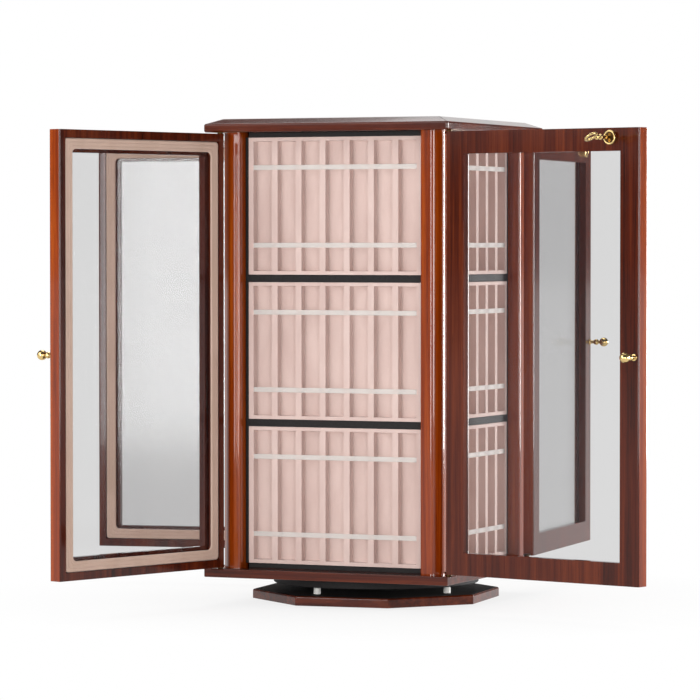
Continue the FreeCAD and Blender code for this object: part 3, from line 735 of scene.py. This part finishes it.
class TOWER_OT_trays(bpy.types.Operator):
    """Velour trays with soft ridges between sunk channels"""

    bl_idname = "tower.trays"
    bl_label = "Velour trays"

    def execute(self, context):
        for number, face in enumerate(FACES):
            for level in LEVELS:
                low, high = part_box(f"tray_front_{level}")
                shape = self.tray(low, high)
                node = f"tray_{face}_{level}"
                shift = number * len(LEVELS) + LEVELS.index(level)
                make_piece(shape, f"velour_{node}", "cabinet", [node], ["cream_velour"],
                           place=face_turn(face), grain=grain_along("Z", shift))
        return {"FINISHED"}

    def tray(self, low, high):
        """One tray of the front face, its ridges set back so that the bands lie level with the rim."""
        size = sizes()
        shape = block(low, high)
        centres = [(index - (size.channel_count - 1) / 2) * size.channel_pitch
                   for index in range(size.channel_count)]
        half = size.channel_width / 2
        cuts = [((centre + side, 0, 0), (1, 0, 0)) for centre in centres for side in (-half, half)]
        cuts += [((0, 0, low.z + size.tray_rim), (0, 0, 1)), ((0, 0, high.z - size.tray_rim), (0, 0, 1))]
        for point, normal in cuts:
            front = [face for face in shape.faces if face.normal.y < -FACING]
            edges = {edge for face in front for edge in face.edges}
            verts = {vert for face in front for vert in face.verts}
            bmesh.ops.bisect_plane(shape, geom=front + list(edges) + list(verts), dist=MERGE,
                                   plane_co=point, plane_no=normal)
        panel = [face for face in shape.faces if self.inside_rim(face, centres[-1] + half, low, high)]
        made = bmesh.ops.extrude_face_region(shape, geom=panel)["geom"]
        bmesh.ops.delete(shape, geom=panel, context="FACES")
        bmesh.ops.translate(shape, vec=(0, size.band_thickness, 0),
                            verts=[item for item in made if isinstance(item, bmesh.types.BMVert)])
        shape.normal_update()
        floors = [face for face in made if isinstance(face, bmesh.types.BMFace)
                  and any(abs(face.calc_center_median().x - centre) < half for centre in centres)]
        sunk = bmesh.ops.extrude_discrete_faces(shape, faces=floors)["faces"]
        bmesh.ops.translate(shape, vec=(0, size.channel_depth - size.band_thickness, 0),
                            verts=list({vert for face in sunk for vert in face.verts}))
        shape.normal_update()
        ridge = low.y + size.band_thickness
        soft = [edge for edge in sharp_edges(shape) if self.on_ridge(edge, ridge, high.y)]
        round_edges(shape, soft, size.tray_round, 3)
        rim = [edge for edge in sharp_edges(shape) if all(vert.co.y < low.y + MERGE for vert in edge.verts)]
        round_edges(shape, rim, size.rim_round, 2)
        return shape

    @staticmethod
    def inside_rim(face, reach, low, high):
        """True for a front face within the rim."""
        middle = face.calc_center_median()
        rim = sizes().tray_rim
        within = abs(middle.x) < reach and low.z + rim < middle.z < high.z - rim
        return within and face.normal.y < -FACING

    @staticmethod
    def on_ridge(edge, ridge, back):
        """True for an edge along a ridge's crown or down in a channel."""
        first, second = (vert.co for vert in edge.verts)
        upright = abs(first.z - second.z) > MERGE
        crown = upright and max(abs(first.y - ridge), abs(second.y - ridge)) < MERGE
        sunk = ridge + MERGE < max(first.y, second.y) < back - MERGE
        return crown or sunk


class TOWER_OT_bands(bpy.types.Operator):
    """Woven elastic bands across the channels"""

    bl_idname = "tower.bands"
    bl_label = "Elastic bands"

    def execute(self, context):
        size = sizes()
        shape = bmesh.new()
        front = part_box("tray_front_lower")[0].y
        reach = ((size.channel_count - 1) * size.channel_pitch + size.channel_width) / 2
        for face in FACES:
            for level in LEVELS:
                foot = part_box(f"tray_front_{level}")[0].z
                for lift in (size.band_low, size.band_high):
                    band = self.band(reach, front, foot + lift)
                    band.transform(face_turn(face))
                    add_shape(shape, band)
        make_piece(shape, "elastic_band_set", "cabinet", ["elastic_bands"], ["white_elastic"])
        return {"FINISHED"}

    def band(self, reach, front, foot):
        """One band of the front face, dipping a little between the ridges."""
        size = sizes()
        shape = block((-reach, front, foot), (reach, front + size.band_thickness, foot + size.band_height))
        lengthwise = [edge for edge in shape.edges
                      if abs((edge.verts[0].co - edge.verts[1].co).normalized().x) > FACING]
        steps = size.channel_count * 8
        bmesh.ops.subdivide_edges(shape, edges=lengthwise, cuts=steps - 1, use_grid_fill=True)
        for vert in shape.verts:
            across = vert.co.x / size.channel_pitch + size.channel_count / 2
            dip = math.sin(math.pi * (across % 1.0)) ** 2
            vert.co.y += size.band_sag * dip
        return shape


class TOWER_OT_doors(bpy.types.Operator):
    """Veneered door frames"""

    bl_idname = "tower.doors"
    bl_label = "Door frames"

    def execute(self, context):
        for number, face in enumerate(FACES):
            place = door_place(face)
            shape = node_shape(f"{face}_door_frame")
            shape.transform(place.inverted())
            shape.normal_update()
            for side in shape.faces:
                side.material_index = 1 if self.on_rim(side, *door_heights(face)) else 0
            longest = sizes().door_width / 3
            edges = [edge for edge in sharp_edges(shape) if edge.calc_length() > longest]
            round_edges(shape, edges, sizes().door_round, 3)
            make_piece(shape, f"veneered_{face}_door", f"{face}_door", [f"{face}_door_frame"],
                       ["rosewood_veneer", "polished_edge"], place=place,
                       grain=grain_along("Z", 9 + number))
        return {"FINISHED"}

    @staticmethod
    def on_rim(side, low, high):
        """True for a face on the door's outer ends."""
        size = sizes()
        middle = side.calc_center_median()
        across = abs(middle.x - size.hinge_offset - size.door_width / 2) - size.door_width / 2
        along = abs(middle.z - (low + high) / 2) - (high - low) / 2
        slack = 0.2 * MM
        return max(across, along) > -slack


class TOWER_OT_glazing(bpy.types.Operator):
    """Panes with ground edges and the velour strips that hold them"""

    bl_idname = "tower.glazing"
    bl_label = "Panes and strips"

    def execute(self, context):
        size = sizes()
        edge = size.border + size.pane_play
        left = size.hinge_offset + edge
        right = size.hinge_offset + size.door_width - edge
        rabbet = size.door_thickness / 2 - size.pane_thickness - size.liner_thickness - size.pane_play
        back = rabbet + size.pane_thickness
        for number, face in enumerate(FACES):
            low, high = door_heights(face)
            place = door_place(face)
            pane = block((left, rabbet, low + edge), (right, back, high - edge))
            round_edges(pane, list(pane.edges), size.fitting_round, 2)
            glass = make_piece(pane, f"{face}_pane", f"{face}_door", [f"{face}_door_glass"],
                               ["clear_glass"], place=place, grain=grain_along("Z", number))
            glass.visible_shadow = False
            strip = picture_frame(self.strip_rings((left, low + edge), (right, high - edge), back))
            strip.normal_update()
            # The upright sides round each strip's mouth take the dark veneer finish as painted shade along
            # the mouth, not as a wood edge.
            middle = Vector(((left + right) / 2, back, (low + high) / 2))
            for side in strip.faces:
                inward = side.normal.dot(middle - side.calc_center_median()) > 0
                upright = abs(side.normal.y) < 1 - FACING
                side.material_index = 1 if inward and upright else 0
            make_piece(strip, f"{face}_velour_strip", f"{face}_door", [f"{face}_door_liner"],
                       ["peach_velour", "rosewood_veneer"], place=place,
                       grain=grain_along("Z", 20 + number))
        return {"FINISHED"}

    @staticmethod
    def strip_rings(low, high, back):
        """Loops round the strip's section, from its outer back edge over its crown to its mouth."""
        size = sizes()
        soft = size.liner_thickness / 3
        top = back + size.liner_thickness
        width = size.liner_width
        groove = 0.6 * MM
        section = [(0, back), (0, top - soft), (soft / 3, top - soft / 3), (soft, top)]
        for middle in (width / 3, 2 * width / 3):
            section += [(middle - groove, top), (middle, top - groove), (middle + groove, top)]
        section += [(width - soft, top), (width - soft / 3, top - soft / 3), (width, top - soft),
                    (width, back)]
        rings = []
        for inset, depth in section:
            share = inset / width
            radius = size.liner_outer_corner * (1 - share) + size.liner_corner * share
            rings.append(((low[0] + inset, low[1] + inset), (high[0] - inset, high[1] - inset),
                          depth, radius))
        return rings


class TOWER_OT_knobs(bpy.types.Operator):
    """Turned brass knobs"""

    bl_idname = "tower.knobs"
    bl_label = "Door knobs"

    def execute(self, context):
        size = sizes()
        low, high = door_heights()
        spot = Vector((size.hinge_offset + size.door_width - size.knob_edge, -size.door_thickness / 2,
                       (low + high) / 2))
        outward = Matrix.Translation(spot) @ Matrix.Rotation(math.radians(90), 4, "X")
        for face in FACES:
            shape = lathe(self.profile(), 40)
            make_piece(shape, f"{face}_turned_knob", f"{face}_door", [f"{face}_door_knob"],
                       ["polished_brass"], place=door_place(face) @ outward)
        return {"FINISHED"}

    @staticmethod
    def profile():
        """Screw, rose, waisted neck, bead and round head."""
        size = sizes()
        neck = size.knob_neck / 2
        rose = size.knob_rose / 2
        bead = size.knob_bead / 2
        head = size.knob_head / 2
        bead_meet = math.degrees(math.acos(neck / bead))
        head_meet = math.degrees(math.acos(neck / head))
        screw = 2 * MM
        sunk = 9 * MM
        ease = 0.7 * MM
        return ([(0, -sunk), (screw - 0.4 * MM, 0.4 * MM - sunk), (screw, 1 * MM - sunk), (screw, 0)]
                + [(rose, 0)]
                + arc((rose - ease, 0.8 * MM), ease, 0, 90, 4)
                + [(neck + 0.6 * MM, 1.6 * MM), (neck + 0.15 * MM, 2.4 * MM)]
                + arc((0, size.knob_bead_reach), bead, -bead_meet, bead_meet, 14)
                + arc((0, size.knob_head_reach), head, -head_meet, 90, 20))


class TOWER_OT_locks(bpy.types.Operator):
    """Let-in locks with round barrels, and their bolts"""

    bl_idname = "tower.locks"
    bl_label = "Locks and bolts"

    def execute(self, context):
        size = sizes()
        for face in FACES:
            place = door_place(face)
            lock = node_shape(f"{face}_door_lock")
            lock.transform(place.inverted())
            lock.normal_update()
            # The barrel's outermost flat face takes the dark finish as painted shade of a sunk face and
            # keyhole; only the bead round it is shaped.
            outermost = min(vert.co.y for vert in lock.verts)
            for side in lock.faces:
                sunk = side.normal.y < -FACING and side.calc_center_median().y < outermost + MERGE
                side.material_index = 1 if sunk else 0
            round_edges(lock, sharp_edges(lock), size.fitting_round, 2)
            rim = self.rim()
            rim.transform(lock_place(face))
            add_shape(lock, rim)
            make_piece(lock, f"{face}_brass_lock", f"{face}_door", [f"{face}_door_lock"],
                       ["polished_brass", "dark_brass_and_shade"], place=place)
            bolt = node_shape(f"{face}_lock_bolt")
            bolt.transform(place.inverted())
            round_edges(bolt, sharp_edges(bolt), size.fitting_round, 2)
            make_piece(bolt, f"{face}_brass_bolt", f"{face}_bolt", [f"{face}_lock_bolt"],
                       ["polished_brass"], place=place)
        return {"FINISHED"}

    @staticmethod
    def rim():
        """Round bead at the edge of the barrel's face."""
        size = sizes()
        bead = size.barrel_rim / 2
        return lathe(arc((size.barrel / 2 - bead, 0), bead, 0, 360, 12), 40)


class TOWER_OT_hinges(bpy.types.Operator):
    """Knife hinge leaves on the doors, the slab and the plate"""

    bl_idname = "tower.hinges"
    bl_label = "Knife hinges"

    def execute(self, context):
        leaves = [("hinge_fixed_leaves", "cabinet")]
        leaves += [(f"{face}_hinge_leaves", f"{face}_door") for face in FACES]
        for node, body in leaves:
            shape = node_shape(node)
            round_edges(shape, sharp_edges(shape), sizes().fitting_round, 2)
            make_piece(shape, f"brass_{node}", body, [node], ["dark_brass_and_shade"])
        return {"FINISHED"}


class TOWER_OT_key(bpy.types.Operator):
    """Brass key that stands in the right door's lock"""

    bl_idname = "tower.key"
    bl_label = "Key"

    def execute(self, context):
        size = sizes()
        roll = Matrix.Rotation(-size.key_roll, 4, "Z")
        shape = lathe(self.shank(), 28)
        add_shape(shape, self.bow())
        make_piece(shape, "brass_key", "key", ["key"], ["polished_brass"],
                   place=door_place("right") @ lock_place("right") @ roll)
        return {"FINISHED"}

    @staticmethod
    def shank():
        """Shank from its tip in the lock, past two collars, to the bow."""
        shank = 2.1 * MM
        tip = -4.9 * MM
        ease = 0.3 * MM
        collar = 3.5 * MM
        swell = 1.5 * MM
        end = sizes().key_reach - sizes().key_bow / 2 + 2 * MM
        points = [(0, tip), (shank - ease, tip), (shank, tip + ease), (shank, ease)]
        for foot in (17 * MM, 24 * MM):
            points += [(shank, foot)]
            points += arc((collar - swell, foot + swell), swell, -75, 75, 8)
            points += [(shank, foot + 2 * swell)]
        return points + [(shank, end - 1 * MM), (shank - 2 * ease, end), (0, end)]

    @staticmethod
    def bow():
        """Ring at the end of the key, wider than it is thick in section."""
        ring = bmesh.new()
        size = sizes()
        made = bmesh.ops.create_circle(ring, segments=14, radius=1.0)
        thick = 1.5 * MM
        wide = 1.8 * MM
        reach = size.key_bow / 2 - wide
        bmesh.ops.scale(ring, vec=(thick, wide, 1), verts=made["verts"])
        bmesh.ops.translate(ring, vec=(0, reach, size.key_reach), verts=made["verts"])
        bmesh.ops.spin(ring, geom=list(ring.verts) + list(ring.edges), cent=(0, 0, size.key_reach),
                       axis=(1, 0, 0), angle=FULL_TURN, steps=40, use_merge=True, use_duplicate=False)
        bmesh.ops.recalc_face_normals(ring, faces=ring.faces)
        return ring


class TOWER_OT_stage(bpy.types.Operator):
    """Pale floor, soft light and the camera"""

    bl_idname = "tower.stage"
    bl_label = "Stage"

    def execute(self, context):
        scene = context.scene
        scene.view_settings.view_transform = "Standard"
        self.floor()
        self.world(scene)
        for lamp in LAMPS:
            self.lamp(*lamp)
        self.camera(scene)
        return {"FINISHED"}

    @staticmethod
    def seen_rays(board):
        """One for the rays that show the background, seen straight, mirrored or through glass."""
        path = board.node("ShaderNodeLightPath", output="Is Camera Ray")
        node = path.socket.node
        glossy = Link(board, node.outputs["Is Glossy Ray"])
        through = Link(board, node.outputs["Is Transmission Ray"])
        return path + glossy + through

    def floor(self):
        """A floor that shows as white, with a soft shade under the tower."""
        reach = 40.0
        bm = bmesh.new()
        bmesh.ops.create_grid(bm, x_segments=8, y_segments=8, size=reach)
        mesh = bpy.data.meshes.new("floor")
        bm.to_mesh(mesh)
        bm.free()
        board = Board(bpy.data.materials.new("pale_floor"))
        shade = opaque(colours().floor)
        matt = board.node("ShaderNodeBsdfDiffuse", {}, {"Color": shade})
        place = board.node("ShaderNodeTexCoord", output="Object")
        behind = board.node("ShaderNodeVectorMath", {"operation": "DOT_PRODUCT"}, {0: place, 1: BEHIND},
                            output="Value")
        glow = board.ramp(behind * 0.25 + 1.0, [(0.1, (0.5, 0.5, 0.5)), (0.4, (1, 1, 1))])
        bright = board.node("ShaderNodeEmission", {}, {"Color": glow, "Strength": 1.0})
        far = board.node("ShaderNodeVectorMath", {"operation": "LENGTH"}, {0: place}, output="Value")
        clear = board.ramp(far, [(0.1, (0.8, 0.8, 0.8)), (0.55, (1, 1, 1))])
        mixed = board.node("ShaderNodeMixShader", {}, {
            0: self.seen_rays(board) * clear, 1: matt, 2: bright})
        board.node("ShaderNodeOutputMaterial", {}, {"Surface": mixed})
        mesh.materials.append(board.owner)
        floor = bpy.data.objects.new("floor", mesh)
        bpy.context.scene.collection.objects.link(floor)

    @staticmethod
    def world(scene):
        """White behind the tower, as the main view sees it, and soft grey on the other sides."""
        world = bpy.data.worlds.new("studio")
        board = Board(world)
        way = board.node("ShaderNodeTexCoord", output="Generated")
        behind = board.node("ShaderNodeVectorMath", {"operation": "DOT_PRODUCT"}, {0: way, 1: BEHIND},
                            output="Value")
        shade = board.ramp(behind, [(0.86, (0.14, 0.14, 0.145)), (0.97, (1, 1, 1))])
        sky = board.node("ShaderNodeBackground", {}, {"Color": shade, "Strength": 1.0})
        board.node("ShaderNodeOutputWorld", {}, {"Surface": sky})
        scene.world = world

    @staticmethod
    def lamp(name, spot, extent, power):
        """A soft panel that faces the middle of the tower."""
        data = bpy.data.lights.new(name, "AREA")
        data.shape = "RECTANGLE"
        data.size, data.size_y = extent
        data.energy = power
        lamp = bpy.data.objects.new(name, data)
        lamp.location = spot
        lamp.rotation_euler = (LAMP_TARGET - Vector(spot)).to_track_quat("-Z", "Y").to_euler()
        bpy.context.scene.collection.objects.link(lamp)

    @staticmethod
    def camera(scene):
        """Long lens from the right of the front face, a little under the tower's top."""
        data = bpy.data.cameras.new("camera")
        data.sensor_width = 36
        data.lens = 200.96
        data.clip_end = 100
        camera = bpy.data.objects.new("camera", data)
        dip = 1.557
        turn = 23.5
        camera.location = (1.9582, -4.5876, 0.4536)
        camera.rotation_euler = (math.radians(90 - dip), 0, math.radians(turn))
        scene.collection.objects.link(camera)
        scene.camera = camera


PIECES = (TOWER_OT_base, TOWER_OT_shell, TOWER_OT_boards, TOWER_OT_trays, TOWER_OT_bands, TOWER_OT_doors,
          TOWER_OT_glazing, TOWER_OT_knobs, TOWER_OT_locks, TOWER_OT_hinges, TOWER_OT_key)


class TOWER_PT_panel(bpy.types.Panel):
    """Lists the tower's pieces, sizes and colours"""

    bl_idname = "TOWER_PT_panel"
    bl_label = "Display tower"
    bl_space_type = "VIEW_3D"
    bl_region_type = "UI"
    bl_category = "Tower"

    def draw(self, context):
        for operator in (*PIECES, TOWER_OT_stage):
            self.layout.operator(operator.bl_idname)
        for group in (context.scene.tower_sizes, context.scene.tower_colours):
            for name in group.__annotations__:
                self.layout.prop(group, name)


CLASSES = (TowerSizes, TowerColours, *PIECES, TOWER_OT_stage, TOWER_PT_panel)


def register():
    for kind in CLASSES:
        bpy.utils.register_class(kind)
    bpy.types.Scene.tower_sizes = bpy.props.PointerProperty(type=TowerSizes)
    bpy.types.Scene.tower_colours = bpy.props.PointerProperty(type=TowerColours)


def unregister():
    del bpy.types.Scene.tower_colours
    del bpy.types.Scene.tower_sizes
    for kind in reversed(CLASSES):
        bpy.utils.unregister_class(kind)


def main():
    register()
    bpy.ops.tower.stage()
    bpy.ops.tower.base()
    bpy.ops.tower.shell()
    bpy.ops.tower.boards()
    bpy.ops.tower.trays()
    bpy.ops.tower.bands()
    bpy.ops.tower.doors()
    bpy.ops.tower.glazing()
    bpy.ops.tower.knobs()
    bpy.ops.tower.locks()
    bpy.ops.tower.hinges()
    bpy.ops.tower.key()


if __name__ == "__main__":
    main()
